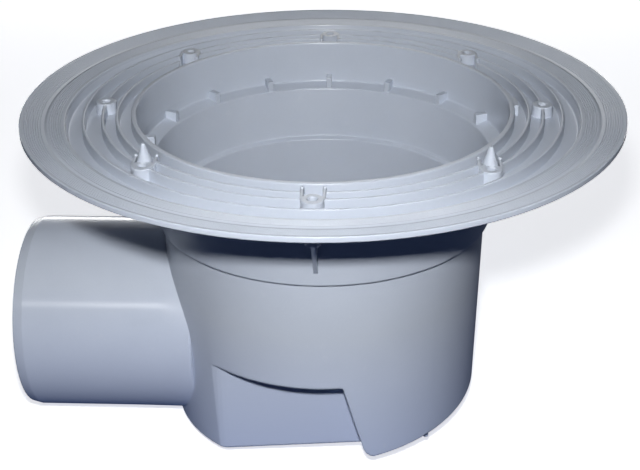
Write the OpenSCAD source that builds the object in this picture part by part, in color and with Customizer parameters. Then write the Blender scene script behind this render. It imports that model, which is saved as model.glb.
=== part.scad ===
// Flat roof drain body with a horizontal spigot outlet.
// One polypropylene moulding: a round membrane flange with screw bosses, a stepped inlet cup,
// a sump with a sloping floor, and a pipe spigot on one side.
// Frame: origin on the flange axis in the plane of the rim's top, +Z up, outlet along -X.

/* [Flange] */
// Outside diameter of the flange
flange_d = 315; // [310:1:330]
// Thickness of the flange plate along the rim
rim_t = 3; // [2.5:0.1:3.5]
// Thickness of the channel's wall and floor
plate_t = 2.5; // [2:0.1:3]
// Radial width of the rim band, which slopes down inwards
rim_band_w = 12.5; // [12:0.1:14]
// Depth of the crease at the rim band's inner edge
crease_depth = 2.7; // [2:0.1:3]
// Radial width of the inner band
inner_band_w = 10.1; // [9.5:0.1:11]
// Depth of the inner band's inner edge below the rim
band_drop = 3.3; // [3:0.1:4]
// Number of fine grip grooves on the rim band
rim_grooves = 8; // [4:1:8]
// Number of fine grip grooves on the inner band
inner_grooves = 6; // [3:1:6]
// Depth of the fine grip grooves
groove_depth = 0.35; // [0.2:0.05:0.5]

/* [Clamping channel] */
// Depth of the channel floor below the rim
channel_depth = 9; // [8:0.5:10]
// Thickness of the sealing ribs
rib_t = 1.6; // [1.2:0.1:2]
// Depth of the rib tops below the rim
rib_drop = 3.2; // [3:0.1:4]
// Offsets of the three sealing ribs from the screw circle
rib_offsets = [-7.7, -0.35, 9.5];

/* [Screw bosses] */
// Number of screw bosses
boss_count = 8; // [8]
// Diameter of the screw circle
screw_circle_d = 232; // [230:1:234]
// Diameter of a boss at its top
boss_d = 10.7; // [9:0.1:11.5]
// Diameter of the blind pilot holes
pilot_d = 4.4; // [3:0.1:5]
// Depth of the boss tops below the rim
boss_drop = 2.9; // [2.5:0.1:3.5]
// Diameter of the boss tubes below the channel floor
tube_d = 7.4; // [7:0.1:9]
// Depth of the boss tubes' lower ends below the rim
boss_reach = 26.3; // [22:0.1:28]

/* [Pockets and pins] */
// Length of a pocket arm, from the boss centre
arm_length = 11.5; // [10.5:0.1:12.5]
// Thickness of a pocket arm
arm_t = 1.4; // [1:0.1:1.8]
// Distance of an arm from the boss centre, across the pocket
arm_offset = 5.1; // [4.6:0.1:5.5]
// Height of the locating pins above the rim
pin_height = 5.8; // [3:0.1:10]
// Diameter of a locating pin at its foot
pin_d = 8; // [6:0.1:8.4]

/* [Inlet cup] */
// Inside diameter of the collar at its top
collar_d = 196.6; // [194:0.1:198]
// Depth of the collar top below the rim
collar_drop = 2.8; // [2:0.1:4]
// Depth of the upper ledge below the rim, at the collar wall
ledge_depth = 27.2; // [25:0.1:30]
// Inside diameter at the inner edge of the upper ledge
ledge_d = 180.8; // [179:0.1:183]
// Number of small blocks on the upper ledge
block_count = 16; // [8:8:16]
// Length, thickness and height of a ledge block
block_size = [7, 3, 4.2];

/* [Sump] */
// Wall thickness of the cup, sump and outlet
wall_t = 3.3; // [3:0.1:3.6]
// Depth of the outside lip below the rim
lip_depth = 62.3; // [60:0.1:65]
// Outside diameter of the lip
lip_d = 183.5; // [182:0.1:185]
// Outside diameter of the sump just below the lip
sump_d = 177; // [175:0.1:178]
// Draft angle of the sump wall
sump_draft = 0.66; // [0.3:0.01:1]
// Depth of the sump's underside on the axis
sump_depth = 176; // [172:1:182]
// Fall of the floor towards the outlet, in degrees
floor_fall = 4.5; // [3:0.1:6]
// Depth of the notch's ceiling below the rim
notch_depth = 126; // [120:1:135]
// Distance of the notch's flat face from the axis
notch_face_y = 68.2; // [66:0.1:72]
// Place of the notch's slanted side at its top
notch_side_x = 12.9; // [5:0.1:20]

/* [Outlet] */
// Outside diameter of the outlet spigot
outlet_d = 110; // [100:1:112]
// Depth of the outlet's axis below the rim
outlet_depth = 134; // [130:1:136]
// Distance of the spigot's end from the flange axis
outlet_reach = 168; // [150:1:200]
// Length of the lead-in chamfer at the spigot's end
lead_in_l = 5.5; // [3:0.5:8]
// Radial depth of the lead-in chamfer
lead_in_d = 1.4; // [0.8:0.1:1.8]

/* [Hidden] */
$fn = 120;
eps = 0.01;
far = 400;

flange_r = flange_d / 2;
rim_inner_r = flange_r - rim_band_w;
channel_outer_r = rim_inner_r - inner_band_w;
screw_r = screw_circle_d / 2;
collar_r = collar_d / 2;
collar_outer_r = collar_r + wall_t - 0.6;
ledge_r = ledge_d / 2;
ledge_fall = 2;
cup_draft = 0.5;
jog_z = -lip_depth + wall_t - 0.4;
jog_fall = 1.2;
lip_r = lip_d / 2;
sump_r = sump_d / 2;
cup_top_r = lip_r + 3.2;
outlet_r = outlet_d / 2;
outlet_z = -outlet_depth;
outlet_root_x = -70;
plug_in_x = -108;
notch_slant = 15;
notch_corner_r = 1.5;
fin_tip_r = 9;
upright_edge_r = 14;
corner_arm = 10;
bottom_edge_r = 2;
boss_step = 360 / boss_count;
boss_angles = [for (i = [0:boss_count - 1]) i * boss_step];
pocket_angles = [for (a = boss_angles) if (abs(sin(a)) > 0.1) a];
pin_angles = [-135, -45];
moulded_grey = [0.70, 0.74, 0.80];

// Points of an outline whose corners [x, y, r] are rounded to radius r.
function unit(v) = v / norm(v);
function rounded_corner(a, b, c, r) =
    let (u = unit([a.x - b.x, a.y - b.y]), v = unit([c.x - b.x, c.y - b.y]))
    let (half = acos(u * v) / 2, centre = [b.x, b.y] + unit(u + v) * r / sin(half))
    let (p = [b.x, b.y] + u * r / tan(half), q = [b.x, b.y] + v * r / tan(half))
    let (start = atan2(p.y - centre.y, p.x - centre.x), end = atan2(q.y - centre.y, q.x - centre.x))
    let (sweep = (end - start + 540) % 360 - 180)
    [for (i = [0:4]) centre + r * [cos(start + sweep * i / 4), sin(start + sweep * i / 4)]];
function rounded(points) =
    let (n = len(points))
    [for (i = [0:n - 1]) each points[i][2] == undef ? [[points[i].x, points[i].y]]
        : rounded_corner(points[(i + n - 1) % n], points[i], points[(i + 1) % n], points[i][2])];

function sump_wall_r(z) = sump_r + (z + lip_depth) * tan(sump_draft);
function notch_start_angle(r) = -180 + asin(notch_face_y / r);

// A row of fine V grooves on a sloping face, from its outer end [r, z] to its inner end.
function grooves(outer, inner, count) =
    [for (i = [0:count - 1], cut = [[0.35, 0], [0.6, groove_depth], [0.85, 0]])
        let (at = outer + (inner - outer) * (i + cut[0]) / count)
        [at.x, at.y - cut[1]]];

// Section of the flange, from the rim inwards to the collar and back along the underside.
module flange_section() {
    crease = [flange_r - rim_band_w, -crease_depth];
    inner_start = [crease.x - 1.2, 0.4 - crease_depth];
    channel_edge = [channel_outer_r, -band_drop];
    rim_slope = (crease - [flange_r, 0]) / rim_band_w;
    inner_slope = (channel_edge - inner_start) / (inner_start.x - channel_edge.x);
    floor_z = -channel_depth;
    seat_z = -crease_depth - rim_t;
    wall_foot_r = channel_outer_r - 1.3;
    polygon(rounded([
        [flange_r, -rim_t, 0.8],
        [flange_r, 0, 0.5],
        for (p = grooves([flange_r, 0] + rim_slope * 1.7, crease - rim_slope * 1.7, rim_grooves)) p,
        crease,
        [inner_start.x, inner_start.y, 0.4],
        for (p = grooves(inner_start + inner_slope * 0.4, channel_edge - inner_slope * 1.8, inner_grooves)) p,
        [channel_edge.x, channel_edge.y, 0.5],
        [wall_foot_r, floor_z, 0.8],
        [collar_outer_r - 1, floor_z],
        [collar_outer_r - 1, floor_z - plate_t],
        [wall_foot_r + plate_t, floor_z - plate_t, 1.5],
        [channel_outer_r + plate_t, seat_z, 0.8],
        [crease.x, seat_z, 2]]));
}

// A thin upright ring on the channel floor, drafted and rounded along its top.
module sealing_rib(radius) {
    rotate_extrude()
        polygon(rounded([
            [radius - rib_t / 2 - 0.15, -channel_depth - 1],
            [radius + rib_t / 2 + 0.15, -channel_depth - 1],
            [radius + rib_t / 2 - 0.1, -rib_drop, 0.5],
            [radius - rib_t / 2 + 0.1, -rib_drop, 0.5]]));
}

// Solid outside form of the cup and the sump, before the cavity is cut.
module body_outside() {
    under_ledge_z = -ledge_depth - ledge_fall - wall_t;
    deep_z = -sump_depth - 20;
    intersection() {
        rotate_extrude()
            polygon(rounded([
                [0, -collar_drop],
                [collar_outer_r, -collar_drop, 0.6],
                [collar_outer_r + 0.3, under_ledge_z, 3],
                [cup_top_r, under_ledge_z - 0.6, 1.5],
                [lip_r, -lip_depth, 0.8],
                [sump_r, -lip_depth + 0.3],
                [sump_wall_r(deep_z), deep_z],
                [0, deep_z]]));
        bottom_envelope(0, bottom_edge_r);
    }
}

// Half space above the sloping floor, with the edge of the sump's bottom rounded.
module bottom_envelope(lift, edge_r) {
    foot_r = sump_wall_r(-sump_depth) / cos(floor_fall) - lift + 0.1;
    translate([0, 0, -sump_depth])
        rotate([0, -floor_fall, 0])
            rotate_extrude()
                polygon(rounded([
                    [0, lift],
                    [foot_r, lift, edge_r],
                    [foot_r + 5, lift + 50],
                    [foot_r + 60, lift + 80],
                    [foot_r + 60, far],
                    [0, far]]));
}

// Prism that takes the notch out of the sump's front, grown by an allowance on its inner faces.
// Its slanted side ends in a round that leads onto the sump's sloping underside.
module notch(allowance) {
    top_z = -notch_depth + allowance;
    low_z = -sump_depth - 40;
    side_x = notch_side_x + allowance;
    slant = tan(notch_slant);
    fall = tan(floor_fall);
    under_z = -sump_depth - 0.3;
    foot_x = (side_x + (top_z - under_z) * slant) / (1 + fall * slant);
    translate([0, -notch_face_y + allowance, 0])
        rotate([90, 0, 0])
            linear_extrude(far)
                polygon(rounded([
                    [-far, top_z],
                    [side_x, top_z, notch_corner_r],
                    [foot_x, under_z + foot_x * fall, fin_tip_r],
                    [far, under_z + far * fall],
                    [far, low_z],
                    [-far, low_z]]));
}

// Section of a cutter that rounds the corner a-b-c to radius r, reaching clear of both faces.
module corner_cutter(a, b, c, r) {
    arc = rounded_corner(a, b, c, r);
    out = unit(unit(b - a) + unit(b - c)) * 2 * r;
    polygon([each arc, arc[4] + out, b + out, arc[0] + out]);
}

// Rounds the upright edge where the notch's flat face meets the sump wall.
module upright_edge_cutter() {
    edge_r = sump_wall_r(-notch_depth);
    start = notch_start_angle(edge_r);
    corner = edge_r * [cos(start), sin(start)];
    translate([0, 0, -sump_depth - 10])
        linear_extrude(sump_depth - notch_depth + 9.5)
            corner_cutter(corner + [corner_arm, 0], corner,
                corner + corner_arm * [sin(start), -cos(start)], upright_edge_r);
}

// Everything the water fills: the cup, its ledges and the sump.
module cavity() {
    collar_foot_r = collar_r - ledge_depth * tan(cup_draft);
    cup_foot_r = lip_r - wall_t + 0.1;
    sump_top_r = sump_r - wall_t;
    deep_z = -sump_depth - 20;
    difference() {
        intersection() {
            rotate_extrude()
                polygon(rounded([
                    [0, eps],
                    [collar_r + 0.4, eps],
                    [collar_r + 0.4, -collar_drop],
                    [collar_r, -collar_drop - 0.8],
                    [collar_foot_r, -ledge_depth, 1],
                    [ledge_r, -ledge_depth - ledge_fall, 1],
                    [cup_foot_r, jog_z, 0.8],
                    [sump_top_r, jog_z - jog_fall, 0.8],
                    [sump_wall_r(deep_z) - wall_t, deep_z],
                    [0, deep_z]]));
            bottom_envelope(wall_t, 3);
        }
        notch(wall_t);
    }
}

// Small blocks that stand on the upper ledge against the collar wall.
module ledge_blocks() {
    for (i = [0:block_count - 1])
        rotate(i * 360 / block_count)
            translate([collar_r - block_size.x, -block_size.y / 2, -ledge_depth - ledge_fall - 0.5])
                cube([block_size.x + 1, block_size.y, block_size.z + ledge_fall + 0.5]);
}

// A screw boss: a drafted post above the channel floor and a tube below it.
module boss() {
    rotate_extrude()
        polygon(rounded([
            [0, -boss_drop],
            [boss_d / 2, -boss_drop, 0.5],
            [boss_d / 2 + 0.2, -channel_depth],
            [tube_d / 2 + 0.3, -channel_depth - 1],
            [tube_d / 2, -boss_reach, 1],
            [0, -boss_reach]]));
}

// The blind pilot hole of a boss, with a small lead-in.
module pilot_hole() {
    hole_z = -boss_reach + 2.5;
    translate([0, 0, hole_z])
        cylinder(d = pilot_d, h = far);
    translate([0, 0, -boss_drop - 0.5])
        cylinder(d1 = pilot_d, d2 = pilot_d + 1.2, h = 0.6);
}

// Two thin arms that run from a boss towards the outlet's plane, each ending in a round knob.
module pocket_arms(angle) {
    inward = sin(angle) > 0 ? -1 : 1;
    arm_top = -boss_drop - 0.2;
    translate([screw_r * cos(angle), screw_r * sin(angle), 0])
        for (side = [-1, 1])
            translate([side * arm_offset, 0, 0]) {
                translate([-arm_t / 2, inward > 0 ? 0 : -arm_length, -channel_depth - 1])
                    cube([arm_t, arm_length, channel_depth + 1 + arm_top]);
                translate([0, inward * arm_length, -channel_depth - 1])
                    cylinder(d = arm_t + 0.5, h = channel_depth + 1 + arm_top);
                translate([0, inward * arm_length, arm_top])
                    sphere(d = arm_t + 0.5, $fn = 24);
            }
}

// Clear space between the arms of a pocket, where the innermost sealing rib is broken.
module pocket_gap(angle) {
    inward = sin(angle) > 0 ? -1 : 1;
    gap_w = 2 * arm_offset - arm_t;
    translate([screw_r * cos(angle) - gap_w / 2, screw_r * sin(angle) - (inward > 0 ? 0 : far / 20), -channel_depth])
        cube([gap_w, far / 20, channel_depth]);
}

// A pointed locating pin between the arms of a pocket.
module locating_pin(angle) {
    pin_shift = 6.1;
    translate([screw_r * cos(angle), screw_r * sin(angle) + pin_shift, 0])
        rotate_extrude()
            polygon(rounded([
                [0, -channel_depth - 1],
                [pin_d / 2, -channel_depth - 1],
                [pin_d / 2 - 0.35, -3],
                [0.9, pin_height, 0.7],
                [0, pin_height]]));
}

// Short raised tab on the collar beside the boss opposite the outlet.
module collar_tab() {
    tab_sweep = 7;
    rotate(-0.5)
        rotate_extrude(angle = tab_sweep)
            polygon([
                [collar_outer_r - 1, -channel_depth - 1],
                [collar_outer_r + 2.6, -channel_depth - 1],
                [collar_outer_r + 2.4, -rib_drop - 0.2],
                [collar_outer_r - 1, -rib_drop - 0.2]]);
}

// Web that ties the flange to the cup wall, in the plane square to the outlet.
module gusset() {
    web_t = 2.2;
    foot_z = -lip_depth + 7.8;
    top_z = -channel_depth - 1;
    rotate([90, 0, 90])
        translate([0, 0, -web_t / 2])
            linear_extrude(web_t)
                polygon(rounded([
                    [-collar_r + 4, top_z],
                    [-screw_r - boss_d, top_z],
                    [-screw_r - boss_d, top_z - 4, 2],
                    [-lip_r - 1, foot_z, 1.5],
                    [-lip_r + 1, foot_z]]));
}

// Small moulding nub under the sump, near its edge.
module sprue_nub() {
    nub_d = 3.2;
    translate([58, -59, -sump_depth])
        cylinder(d = nub_d, h = 12);
}

// Solid outside form of the spigot: a lead-in, the plain plug-in length and a slightly drafted root.
module outlet_outside() {
    plug_in = outlet_reach + plug_in_x;
    root = outlet_reach + outlet_root_x;
    translate([-outlet_reach, 0, outlet_z])
        rotate([0, 90, 0])
            rotate_extrude()
                polygon(rounded([
                    [0, 0],
                    [outlet_r - lead_in_d, 0, 0.6],
                    [outlet_r, lead_in_l],
                    [outlet_r, plug_in],
                    [outlet_r + 0.35, root, 1.5],
                    [0, root]]));
}

// The spigot's bore, which opens into the sump.
module outlet_bore() {
    bore_end = outlet_reach + outlet_root_x - wall_t;
    translate([-outlet_reach, 0, outlet_z])
        rotate([0, 90, 0])
            rotate_extrude()
                polygon([
                    [0, -1],
                    [outlet_r - wall_t, -1],
                    [outlet_r - wall_t, bore_end],
                    [0, bore_end]]);
}

// The whole moulding.
module drain_body() {
    color(moulded_grey)
        difference() {
            union() {
                difference() {
                    union() {
                        difference() {
                            body_outside();
                            notch(0);
                            upright_edge_cutter();
                        }
                        outlet_outside();
                        sprue_nub();
                        for (turn = [0, 180])
                            rotate(turn)
                                gusset();
                    }
                    cavity();
                    outlet_bore();
                }
                ledge_blocks();
                difference() {
                    union() {
                        rotate_extrude()
                            flange_section();
                        for (offset_r = rib_offsets)
                            sealing_rib(screw_r + offset_r);
                    }
                    for (a = pocket_angles)
                        pocket_gap(a);
                }
                for (a = boss_angles)
                    rotate(a)
                        translate([screw_r, 0, 0])
                            boss();
                for (a = pocket_angles)
                    pocket_arms(a);
                for (a = pin_angles)
                    locating_pin(a);
                collar_tab();
            }
            for (a = boss_angles)
                rotate(a)
                    translate([screw_r, 0, 0])
                        pilot_hole();
        }
}

drain_body();
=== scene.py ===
# Flat roof drain body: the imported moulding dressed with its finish, a pale floor, soft lights and a camera.
import math

import bpy
from mathutils import Matrix, Vector


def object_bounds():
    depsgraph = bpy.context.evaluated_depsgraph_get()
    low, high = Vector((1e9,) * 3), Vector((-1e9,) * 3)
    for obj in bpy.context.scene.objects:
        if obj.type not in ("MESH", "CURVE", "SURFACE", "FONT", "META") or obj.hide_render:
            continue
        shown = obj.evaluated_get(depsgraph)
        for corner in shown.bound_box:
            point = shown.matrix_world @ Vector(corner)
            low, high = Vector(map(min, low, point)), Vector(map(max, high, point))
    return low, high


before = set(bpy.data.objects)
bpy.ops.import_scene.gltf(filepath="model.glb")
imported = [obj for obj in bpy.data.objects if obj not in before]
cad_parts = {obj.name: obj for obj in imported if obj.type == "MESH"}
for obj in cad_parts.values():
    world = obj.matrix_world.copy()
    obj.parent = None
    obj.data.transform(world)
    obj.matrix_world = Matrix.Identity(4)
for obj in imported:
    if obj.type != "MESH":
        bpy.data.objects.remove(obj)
cad_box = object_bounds()
scene = bpy.context.scene
scene.view_settings.view_transform = "Standard"

# ---------------------------------------------------------------------------------------------
# Node helpers. add() makes a node with plain numbers on its sockets, and link() joins a socket
# to a socket; both keep the material sections below short enough to read.
# ---------------------------------------------------------------------------------------------


def new_material(name):
    """A node material and its shader node."""
    material = bpy.data.materials.new(name)
    material.use_nodes = True
    return material, material.node_tree.nodes["Principled BSDF"]


def add(material, kind, sockets=(), **settings):
    """A node of the given kind, with its settings and the plain values of its sockets."""
    node = material.node_tree.nodes.new(kind)
    for key, value in settings.items():
        setattr(node, key, value)
    for key, value in dict(sockets).items():
        node.inputs[key].default_value = value
    return node


def link(material, source, target):
    """One link, from an output socket to an input socket."""
    material.node_tree.links.new(source, target)


def math_node(material, operation, first, second=None, third=None, clamp=False):
    """A math node; each operand is a number or an output socket. Gives its output socket."""
    node = add(material, "ShaderNodeMath", operation=operation, use_clamp=clamp)
    for index, operand in enumerate((first, second, third)):
        if operand is None:
            continue
        if isinstance(operand, (int, float)):
            node.inputs[index].default_value = operand
        else:
            link(material, operand, node.inputs[index])
    return node.outputs[0]


def mix(material, factor, first, second):
    """A colour between an output socket's and a plain one, by a factor. Gives its colour socket."""
    node = add(material, "ShaderNodeMix", data_type="RGBA")
    link(material, factor, node.inputs["Factor"])
    link(material, first, node.inputs["A"])
    node.inputs["B"].default_value = (*second, 1.0)
    return node.outputs["Result"]


def ramp(material, factor, stops):
    """A colour ramp over a factor, from a list of (position, colour). Gives its colour socket."""
    node = add(material, "ShaderNodeValToRGB")
    elements = node.color_ramp.elements
    while len(elements) < len(stops):
        elements.new(0.5)
    for element, (position, colour) in zip(elements, stops):
        element.position = position
        element.color = (*colour, 1.0)
    link(material, factor, node.inputs["Fac"])
    return node.outputs["Color"]


def noise(material, vector, scale, detail=2.0, roughness=0.5):
    """Noise on the given coordinates; scale is per metre. Gives its factor socket."""
    node = add(material, "ShaderNodeTexNoise",
               {"Scale": scale, "Detail": detail, "Roughness": roughness})
    link(material, vector, node.inputs["Vector"])
    return node.outputs["Fac"]


# ---------------------------------------------------------------------------------------------
# Moulded plastic: satin light blue-grey polypropylene. Soft cloudiness in the colour, a fine
# spark-eroded grain, faint turned lines round the flange, and edges that are a little rounded.
# Its colour is painted bluer towards the foot as painted blue bounce light from below, and highlights are
# drawn out along the pipe.
# ---------------------------------------------------------------------------------------------
PLASTIC_TINTS = [(0.30, (0.455, 0.500, 0.580)), (0.70, (0.495, 0.540, 0.620))]
SCUFF_TINT = (0.62, 0.65, 0.70)
PAINTED_BOUNCE_TINT = (0.465, 0.545, 0.780)
PAINTED_BOUNCE_START, PAINTED_BOUNCE_RATE = -0.95, -10.0
CLOUD_SHARE = 0.75
SCUFF_START, SCUFF_RATE = 0.62, 1.2
GLOSS, GLOSS_RANGE, FLANGE_GLOSS_SHIFT = 0.25, 0.10, -0.07
PLASTIC_IOR = 1.49
PLAIN_SPECULAR, PIPE_SPECULAR = 0.5, 0.18
PIPE_STREAK = 1.0
PIPE_START_X, PIPE_BLEND_L = -0.072, 0.015
FLANGE_FOOT_Z, FLANGE_LINES_R = -0.022, 0.1345
GRAIN_SCALE, GRAIN_STRENGTH, GRAIN_HEIGHT = 2600.0, 0.20, 0.00006
TURNED_PITCH, TURNED_SHARE = 0.00032, 0.04
EDGE_R, NOTCH_EDGE_R, FLANGE_EDGE_R = 0.0006, 0.0018, 0.00012
NOTCH_TOP_Z = -0.120

plastic, plastic_shader = new_material("moulded_plastic")
where = add(plastic, "ShaderNodeTexCoord").outputs["Object"]
parts_of = add(plastic, "ShaderNodeSeparateXYZ")
link(plastic, where, parts_of.inputs[0])
x_out, y_out, z_out = parts_of.outputs
radius = math_node(plastic, "SQRT", math_node(plastic, "ADD",
                   math_node(plastic, "MULTIPLY", x_out, x_out),
                   math_node(plastic, "MULTIPLY", y_out, y_out)))

cloud = noise(plastic, where, 22.0, 3.0, 0.55)
speckle = noise(plastic, where, 900.0, 2.0, 0.6)
tone = math_node(plastic, "MULTIPLY_ADD", speckle, 1.0 - CLOUD_SHARE,
                 math_node(plastic, "MULTIPLY", cloud, CLOUD_SHARE))
body_tint = ramp(plastic, tone, PLASTIC_TINTS)
scuff_noise = noise(plastic, where, 140.0, 5.0, 0.7)
scuff = math_node(plastic, "SUBTRACT", scuff_noise, SCUFF_START, clamp=True)
scuff = math_node(plastic, "MULTIPLY", scuff, SCUFF_RATE, clamp=True)
# Painted bounce light: the colour is blued towards the foot, standing in for bluish light from below.
painted_bounce_share = math_node(plastic, "MULTIPLY_ADD", z_out, PAINTED_BOUNCE_RATE, PAINTED_BOUNCE_START, clamp=True)
tint = mix(plastic, scuff, mix(plastic, painted_bounce_share, body_tint, PAINTED_BOUNCE_TINT), SCUFF_TINT)
link(plastic, tint, plastic_shader.inputs["Base Color"])

below_flange = math_node(plastic, "LESS_THAN", z_out, FLANGE_FOOT_Z)
past_body = math_node(plastic, "DIVIDE", math_node(plastic, "SUBTRACT", PIPE_START_X, x_out),
                      PIPE_BLEND_L, clamp=True)
on_pipe = math_node(plastic, "MULTIPLY", below_flange, past_body)
on_flange = math_node(plastic, "GREATER_THAN", radius,
                      math_node(plastic, "ADD", below_flange, FLANGE_LINES_R))
streak = math_node(plastic, "MULTIPLY", on_pipe, PIPE_STREAK)
link(plastic, streak, plastic_shader.inputs["Anisotropic"])
drawn = add(plastic, "ShaderNodeCombineXYZ")
off_pipe = math_node(plastic, "SUBTRACT", 1.0, on_pipe)
link(plastic, x_out, drawn.inputs[0])
link(plastic, math_node(plastic, "MULTIPLY", y_out, off_pipe), drawn.inputs[1])
link(plastic, drawn.outputs[0], plastic_shader.inputs["Tangent"])

gloss = math_node(plastic, "MULTIPLY_ADD", noise(plastic, where, 60.0, 4.0, 0.6), GLOSS_RANGE, GLOSS)
gloss = math_node(plastic, "MULTIPLY_ADD", on_flange, FLANGE_GLOSS_SHIFT, gloss)
link(plastic, gloss, plastic_shader.inputs["Roughness"])
level = math_node(plastic, "MULTIPLY_ADD", on_pipe, PIPE_SPECULAR - PLAIN_SPECULAR, PLAIN_SPECULAR)
link(plastic, level, plastic_shader.inputs["Specular IOR Level"])
plastic_shader.inputs["IOR"].default_value = PLASTIC_IOR

turned = math_node(plastic, "SINE", math_node(plastic, "MULTIPLY", radius, 2 * math.pi / TURNED_PITCH))
grain = noise(plastic, where, GRAIN_SCALE)
relief = math_node(plastic, "MULTIPLY_ADD", math_node(plastic, "MULTIPLY", turned, on_flange),
                   TURNED_SHARE, grain)
near_notch = math_node(plastic, "LESS_THAN", z_out, NOTCH_TOP_Z)
edge_r = math_node(plastic, "MULTIPLY_ADD", near_notch, NOTCH_EDGE_R - EDGE_R, EDGE_R)
edge_r = math_node(plastic, "MULTIPLY_ADD", on_flange, FLANGE_EDGE_R - EDGE_R, edge_r)
edges = add(plastic, "ShaderNodeBevel", samples=6)
link(plastic, edge_r, edges.inputs["Radius"])
bump = add(plastic, "ShaderNodeBump", {"Strength": GRAIN_STRENGTH, "Distance": GRAIN_HEIGHT})
link(plastic, relief, bump.inputs["Height"])
link(plastic, edges.outputs["Normal"], bump.inputs["Normal"])
link(plastic, bump.outputs["Normal"], plastic_shader.inputs["Normal"])

for node_object in [o for o in bpy.data.objects if o.type == "MESH"]:
    for material_slot in node_object.material_slots:
        material_slot.material = plastic

# ---------------------------------------------------------------------------------------------
# Floor and backdrop: a pale matt sheet just under the part, far larger than the view, and a
# round wall of the same sheet that closes it off. Neither throws its colour on the part.
# ---------------------------------------------------------------------------------------------
FLOOR_TINTS = [(0.0, (0.84, 0.85, 0.86)), (1.0, (0.90, 0.905, 0.91))]
FLOOR_SIZE, FLOOR_GAP = 8.0, 0.0002
FLOOR_GLOW, FLOOR_GLOW_TINT = 0.70, (0.95, 0.96, 1.0)
BACKDROP_R = 3.6

bpy.ops.mesh.primitive_plane_add(size=FLOOR_SIZE, location=(0, 0, cad_box[0][2] - FLOOR_GAP))
floor = bpy.context.object
floor.name = "floor"
sheet, sheet_shader = new_material("floor")
sheet_where = add(sheet, "ShaderNodeTexCoord").outputs["Object"]
link(sheet, ramp(sheet, noise(sheet, sheet_where, 3.0), FLOOR_TINTS), sheet_shader.inputs["Base Color"])
sheet_shader.inputs["Roughness"].default_value = 0.8
sheet_shader.inputs["Emission Color"].default_value = (*FLOOR_GLOW_TINT, 1.0)
sheet_shader.inputs["Emission Strength"].default_value = FLOOR_GLOW
bpy.ops.mesh.primitive_cylinder_add(vertices=96, radius=BACKDROP_R, depth=FLOOR_SIZE,
                                    end_fill_type="NOTHING", location=(0, 0, 0))
backdrop = bpy.context.object
backdrop.name = "backdrop"
for staged in (floor, backdrop):
    staged.data.materials.append(sheet)
    staged.visible_diffuse = False
    staged.visible_glossy = False
backdrop.visible_shadow = False

# ---------------------------------------------------------------------------------------------
# Lights: a small soft key a little above the camera, a tall panel behind that gives the flange
# its sheen, a low wide one for the back, a narrow one into the cup, and a weak surround.
# ---------------------------------------------------------------------------------------------


def area_light(name, place, aim, size, power, spread=180.0):
    """A soft panel of the given size in metres that faces a point, with its spread in degrees."""
    data = bpy.data.lights.new(name, "AREA")
    data.shape = "RECTANGLE"
    data.size, data.size_y = size
    data.energy = power
    data.spread = math.radians(spread)
    light = bpy.data.objects.new(name, data)
    light.location = place
    light.visible_camera = False
    light.rotation_euler = (Vector(place) - Vector(aim)).to_track_quat("Z", "Y").to_euler()
    scene.collection.objects.link(light)


area_light("key_light", (0.017, -0.534, 0.267), (0.0, 0.0, -0.06), (0.03, 0.03), 3.9)
area_light("back_glow", (-0.05, 1.7, 0.70), (0.0, 0.0, 0.0), (0.5, 0.85), 3.2)
area_light("back_panel", (0.0, 1.5, -0.10), (0.0, 0.0, -0.10), (3.4, 0.16), 22.0)
area_light("well_light", (0.0, 0.0, 1.0), (0.0, 0.0, 0.0), (0.10, 0.10), 0.014, 5.0)

SURROUND_TINTS = [(0.00, (0.045, 0.080, 0.200)), (0.30, (0.021, 0.026, 0.045)),
                  (0.48, (0.014, 0.016, 0.020)), (0.62, (0.009, 0.010, 0.011))]
world = bpy.data.worlds.new("world")
scene.world = world
world.use_nodes = True
surround = world.node_tree.nodes["Background"]
surround.inputs["Strength"].default_value = 1.0
ray_parts = add(world, "ShaderNodeSeparateXYZ")
link(world, add(world, "ShaderNodeTexCoord").outputs["Generated"], ray_parts.inputs[0])
height = math_node(world, "MULTIPLY_ADD", ray_parts.outputs[2], 0.5, 0.5)
link(world, ramp(world, height, SURROUND_TINTS), surround.inputs["Color"])

# ---------------------------------------------------------------------------------------------
# Camera: stands in front of the drain, a little to the right of its middle and about 21 degrees
# above it, with a long lens, looking at the middle of the body.
# ---------------------------------------------------------------------------------------------
CAMERA_PLACE = Vector((0.0248, -0.57765, 0.22403))
CAMERA_RIGHT = Vector((0.99908, 0.04201, -0.00863))
CAMERA_DOWN = Vector((0.01206, -0.46839, -0.88344))
CAMERA_AHEAD = Vector((-0.04116, 0.88252, -0.46847))

camera_data = bpy.data.cameras.new("camera")
camera_data.lens = 65.33
camera_data.sensor_width = 36.0
camera = bpy.data.objects.new("camera", camera_data)
turn = Matrix((CAMERA_RIGHT, -CAMERA_DOWN, -CAMERA_AHEAD)).transposed()
camera.matrix_world = Matrix.Translation(CAMERA_PLACE) @ turn.to_4x4()
scene.collection.objects.link(camera)
scene.camera = camera
